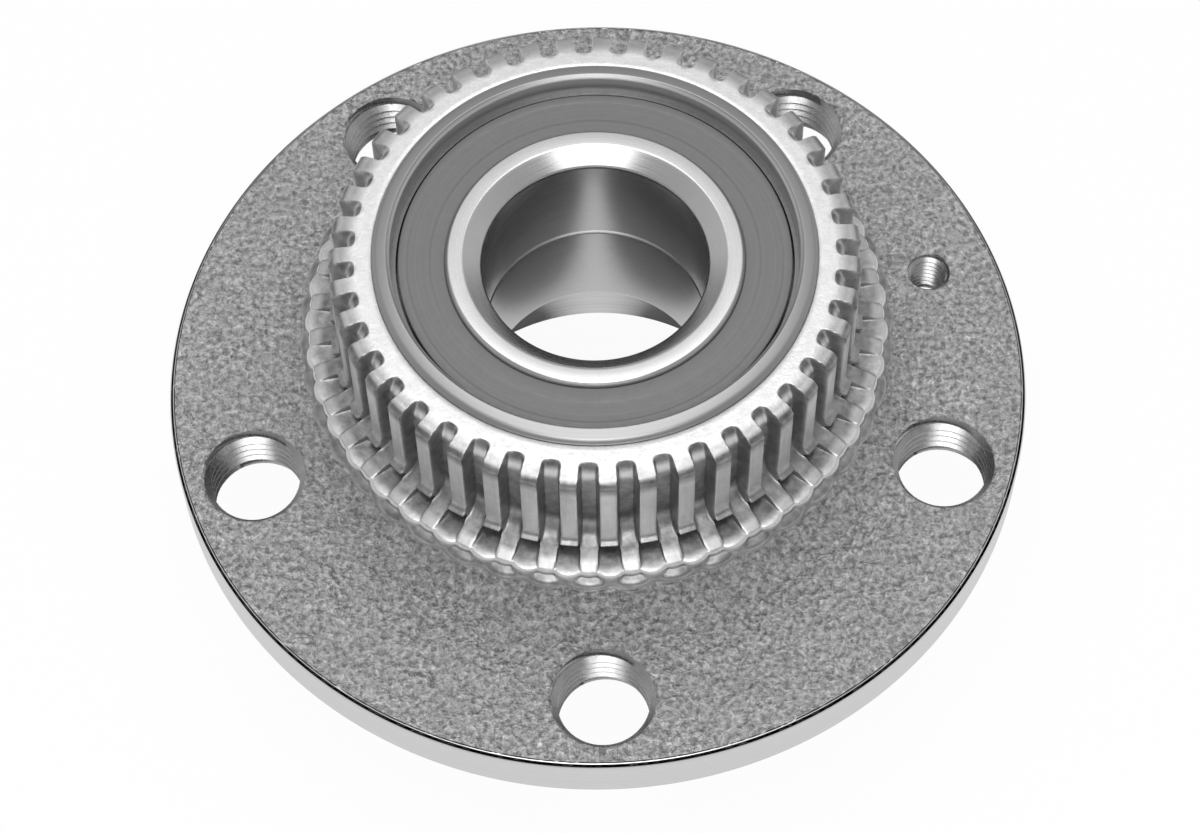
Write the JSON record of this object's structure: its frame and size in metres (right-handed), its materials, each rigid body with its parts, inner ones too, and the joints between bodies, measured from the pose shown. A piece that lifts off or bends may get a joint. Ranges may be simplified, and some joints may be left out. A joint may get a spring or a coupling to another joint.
{
  "type": "wheel hub",
  "caption": "Flanged wheel hub with a toothed sensor ring, turning on a sealed double-row ball bearing whose split inner rings clamp on a stub axle.",
  "frame": {"origin": "centre of the wheel-mounting face on the axis", "axes": "+Z along the axis towards the vehicle side; a wheel bolt hole lies on -Y"},
  "size_m": [0.12, 0.12, 0.0616],
  "materials": {
    "forged_steel": "scaled forging with turned faces, oiled",
    "pressed_steel": "bright pressed sheet",
    "ground_steel": "ground",
    "ball_steel": "polished",
    "spring_steel": "blued",
    "cage_plastic": "glass-filled polyamide",
    "seal_steel": "phosphated",
    "seal_rubber": "moulded",
    "flinger_steel": "matt grey coat"
  },
  "bodies": {
    "inner_race": {"inner_ring_inboard": "ground_steel", "inner_ring_outboard": "ground_steel", "retaining_clip": "spring_steel", "flinger_inboard": "flinger_steel", "flinger_outboard": "flinger_steel"},
    "hub": {"hub": "forged_steel", "tone_ring": "pressed_steel", "seal_case_inboard": "seal_steel", "seal_case_outboard": "seal_steel", "seal_lip_inboard": "seal_rubber", "seal_lip_outboard": "seal_rubber"},
    "cage_inboard": {"cage_inboard": "cage_plastic"},
    "cage_outboard": {"cage_outboard": "cage_plastic"},
    "ball_inboard_01": {"ball_inboard_01": "ball_steel"},
    "ball_inboard_02": {"ball_inboard_02": "ball_steel"},
    "ball_inboard_03": {"ball_inboard_03": "ball_steel"},
    "ball_inboard_04": {"ball_inboard_04": "ball_steel"},
    "ball_inboard_05": {"ball_inboard_05": "ball_steel"},
    "ball_inboard_06": {"ball_inboard_06": "ball_steel"},
    "ball_inboard_07": {"ball_inboard_07": "ball_steel"},
    "ball_inboard_08": {"ball_inboard_08": "ball_steel"},
    "ball_inboard_09": {"ball_inboard_09": "ball_steel"},
    "ball_inboard_10": {"ball_inboard_10": "ball_steel"},
    "ball_inboard_11": {"ball_inboard_11": "ball_steel"},
    "ball_inboard_12": {"ball_inboard_12": "ball_steel"},
    "ball_inboard_13": {"ball_inboard_13": "ball_steel"},
    "ball_outboard_01": {"ball_outboard_01": "ball_steel"},
    "ball_outboard_02": {"ball_outboard_02": "ball_steel"},
    "ball_outboard_03": {"ball_outboard_03": "ball_steel"},
    "ball_outboard_04": {"ball_outboard_04": "ball_steel"},
    "ball_outboard_05": {"ball_outboard_05": "ball_steel"},
    "ball_outboard_06": {"ball_outboard_06": "ball_steel"},
    "ball_outboard_07": {"ball_outboard_07": "ball_steel"},
    "ball_outboard_08": {"ball_outboard_08": "ball_steel"},
    "ball_outboard_09": {"ball_outboard_09": "ball_steel"},
    "ball_outboard_10": {"ball_outboard_10": "ball_steel"},
    "ball_outboard_11": {"ball_outboard_11": "ball_steel"},
    "ball_outboard_12": {"ball_outboard_12": "ball_steel"},
    "ball_outboard_13": {"ball_outboard_13": "ball_steel"}
  },
  "joints": [
    {"name": "hub_spin", "type": "hinge", "parent": "inner_race", "child": "hub", "pos_m": [0, 0, 0], "axis": [0, 0, 1], "continuous": true},
    {"name": "cage_inboard_spin", "type": "hinge", "parent": "inner_race", "child": "cage_inboard", "pos_m": [0, 0, 0.029], "axis": [0, 0, 1], "continuous": true},
    {"name": "ball_inboard_01_spin", "type": "hinge", "parent": "cage_inboard", "child": "ball_inboard_01", "pos_m": [0.0216, 0, 0.029], "axis": [0.6157, 0, 0.788], "continuous": true},
    {"name": "ball_inboard_02_spin", "type": "hinge", "parent": "cage_inboard", "child": "ball_inboard_02", "pos_m": [0.01913, 0.01004, 0.029], "axis": [0.5451, 0.2861, 0.788], "continuous": true},
    {"name": "ball_inboard_03_spin", "type": "hinge", "parent": "cage_inboard", "child": "ball_inboard_03", "pos_m": [0.01227, 0.01778, 0.029], "axis": [0.3497, 0.5067, 0.788], "continuous": true},
    {"name": "ball_inboard_04_spin", "type": "hinge", "parent": "cage_inboard", "child": "ball_inboard_04", "pos_m": [0.0026, 0.02144, 0.029], "axis": [0.0742, 0.6112, 0.788], "continuous": true},
    {"name": "ball_inboard_05_spin", "type": "hinge", "parent": "cage_inboard", "child": "ball_inboard_05", "pos_m": [-0.00766, 0.0202, 0.029], "axis": [-0.2183, 0.5757, 0.788], "continuous": true},
    {"name": "ball_inboard_06_spin", "type": "hinge", "parent": "cage_inboard", "child": "ball_inboard_06", "pos_m": [-0.01617, 0.01432, 0.029], "axis": [-0.4608, 0.4083, 0.788], "continuous": true},
    {"name": "ball_inboard_07_spin", "type": "hinge", "parent": "cage_inboard", "child": "ball_inboard_07", "pos_m": [-0.02097, 0.00517, 0.029], "axis": [-0.5978, 0.1473, 0.788], "continuous": true},
    {"name": "ball_inboard_08_spin", "type": "hinge", "parent": "cage_inboard", "child": "ball_inboard_08", "pos_m": [-0.02097, -0.00517, 0.029], "axis": [-0.5978, -0.1473, 0.788], "continuous": true},
    {"name": "ball_inboard_09_spin", "type": "hinge", "parent": "cage_inboard", "child": "ball_inboard_09", "pos_m": [-0.01617, -0.01432, 0.029], "axis": [-0.4608, -0.4083, 0.788], "continuous": true},
    {"name": "ball_inboard_10_spin", "type": "hinge", "parent": "cage_inboard", "child": "ball_inboard_10", "pos_m": [-0.00766, -0.0202, 0.029], "axis": [-0.2183, -0.5757, 0.788], "continuous": true},
    {"name": "ball_inboard_11_spin", "type": "hinge", "parent": "cage_inboard", "child": "ball_inboard_11", "pos_m": [0.0026, -0.02144, 0.029], "axis": [0.0742, -0.6112, 0.788], "continuous": true},
    {"name": "ball_inboard_12_spin", "type": "hinge", "parent": "cage_inboard", "child": "ball_inboard_12", "pos_m": [0.01227, -0.01778, 0.029], "axis": [0.3497, -0.5067, 0.788], "continuous": true},
    {"name": "ball_inboard_13_spin", "type": "hinge", "parent": "cage_inboard", "child": "ball_inboard_13", "pos_m": [0.01913, -0.01004, 0.029], "axis": [0.5451, -0.2861, 0.788], "continuous": true},
    {"name": "cage_outboard_spin", "type": "hinge", "parent": "inner_race", "child": "cage_outboard", "pos_m": [0, 0, 0.0158], "axis": [0, 0, 1], "continuous": true},
    {"name": "ball_outboard_01_spin", "type": "hinge", "parent": "cage_outboard", "child": "ball_outboard_01", "pos_m": [0.02097, 0.00517, 0.0158], "axis": [-0.5978, -0.1473, 0.788], "continuous": true},
    {"name": "ball_outboard_02_spin", "type": "hinge", "parent": "cage_outboard", "child": "ball_outboard_02", "pos_m": [0.01617, 0.01432, 0.0158], "axis": [-0.4608, -0.4083, 0.788], "continuous": true},
    {"name": "ball_outboard_03_spin", "type": "hinge", "parent": "cage_outboard", "child": "ball_outboard_03", "pos_m": [0.00766, 0.0202, 0.0158], "axis": [-0.2183, -0.5757, 0.788], "continuous": true},
    {"name": "ball_outboard_04_spin", "type": "hinge", "parent": "cage_outboard", "child": "ball_outboard_04", "pos_m": [-0.0026, 0.02144, 0.0158], "axis": [0.0742, -0.6112, 0.788], "continuous": true},
    {"name": "ball_outboard_05_spin", "type": "hinge", "parent": "cage_outboard", "child": "ball_outboard_05", "pos_m": [-0.01227, 0.01778, 0.0158], "axis": [0.3497, -0.5067, 0.788], "continuous": true},
    {"name": "ball_outboard_06_spin", "type": "hinge", "parent": "cage_outboard", "child": "ball_outboard_06", "pos_m": [-0.01913, 0.01004, 0.0158], "axis": [0.5451, -0.2861, 0.788], "continuous": true},
    {"name": "ball_outboard_07_spin", "type": "hinge", "parent": "cage_outboard", "child": "ball_outboard_07", "pos_m": [-0.0216, 0, 0.0158], "axis": [0.6157, 0, 0.788], "continuous": true},
    {"name": "ball_outboard_08_spin", "type": "hinge", "parent": "cage_outboard", "child": "ball_outboard_08", "pos_m": [-0.01913, -0.01004, 0.0158], "axis": [0.5451, 0.2861, 0.788], "continuous": true},
    {"name": "ball_outboard_09_spin", "type": "hinge", "parent": "cage_outboard", "child": "ball_outboard_09", "pos_m": [-0.01227, -0.01778, 0.0158], "axis": [0.3497, 0.5067, 0.788], "continuous": true},
    {"name": "ball_outboard_10_spin", "type": "hinge", "parent": "cage_outboard", "child": "ball_outboard_10", "pos_m": [-0.0026, -0.02144, 0.0158], "axis": [0.0742, 0.6112, 0.788], "continuous": true},
    {"name": "ball_outboard_11_spin", "type": "hinge", "parent": "cage_outboard", "child": "ball_outboard_11", "pos_m": [0.00766, -0.0202, 0.0158], "axis": [-0.2183, 0.5757, 0.788], "continuous": true},
    {"name": "ball_outboard_12_spin", "type": "hinge", "parent": "cage_outboard", "child": "ball_outboard_12", "pos_m": [0.01617, -0.01432, 0.0158], "axis": [-0.4608, 0.4083, 0.788], "continuous": true},
    {"name": "ball_outboard_13_spin", "type": "hinge", "parent": "cage_outboard", "child": "ball_outboard_13", "pos_m": [0.02097, -0.00517, 0.0158], "axis": [-0.5978, 0.1473, 0.788], "continuous": true}
  ],
  "couplings": [
    {"joint": "cage_inboard_spin", "follows": "hub_spin", "ratio": 0.57962},
    {"joint": "ball_inboard_01_spin", "follows": "hub_spin", "ratio": 2.4115},
    {"joint": "ball_inboard_02_spin", "follows": "hub_spin", "ratio": 2.4115},
    {"joint": "ball_inboard_03_spin", "follows": "hub_spin", "ratio": 2.4115},
    {"joint": "ball_inboard_04_spin", "follows": "hub_spin", "ratio": 2.4115},
    {"joint": "ball_inboard_05_spin", "follows": "hub_spin", "ratio": 2.4115},
    {"joint": "ball_inboard_06_spin", "follows": "hub_spin", "ratio": 2.4115},
    {"joint": "ball_inboard_07_spin", "follows": "hub_spin", "ratio": 2.4115},
    {"joint": "ball_inboard_08_spin", "follows": "hub_spin", "ratio": 2.4115},
    {"joint": "ball_inboard_09_spin", "follows": "hub_spin", "ratio": 2.4115},
    {"joint": "ball_inboard_10_spin", "follows": "hub_spin", "ratio": 2.4115},
    {"joint": "ball_inboard_11_spin", "follows": "hub_spin", "ratio": 2.4115},
    {"joint": "ball_inboard_12_spin", "follows": "hub_spin", "ratio": 2.4115},
    {"joint": "ball_inboard_13_spin", "follows": "hub_spin", "ratio": 2.4115},
    {"joint": "cage_outboard_spin", "follows": "hub_spin", "ratio": 0.57962},
    {"joint": "ball_outboard_01_spin", "follows": "hub_spin", "ratio": 2.4115},
    {"joint": "ball_outboard_02_spin", "follows": "hub_spin", "ratio": 2.4115},
    {"joint": "ball_outboard_03_spin", "follows": "hub_spin", "ratio": 2.4115},
    {"joint": "ball_outboard_04_spin", "follows": "hub_spin", "ratio": 2.4115},
    {"joint": "ball_outboard_05_spin", "follows": "hub_spin", "ratio": 2.4115},
    {"joint": "ball_outboard_06_spin", "follows": "hub_spin", "ratio": 2.4115},
    {"joint": "ball_outboard_07_spin", "follows": "hub_spin", "ratio": 2.4115},
    {"joint": "ball_outboard_08_spin", "follows": "hub_spin", "ratio": 2.4115},
    {"joint": "ball_outboard_09_spin", "follows": "hub_spin", "ratio": 2.4115},
    {"joint": "ball_outboard_10_spin", "follows": "hub_spin", "ratio": 2.4115},
    {"joint": "ball_outboard_11_spin", "follows": "hub_spin", "ratio": 2.4115},
    {"joint": "ball_outboard_12_spin", "follows": "hub_spin", "ratio": 2.4115},
    {"joint": "ball_outboard_13_spin", "follows": "hub_spin", "ratio": 2.4115}
  ]
}
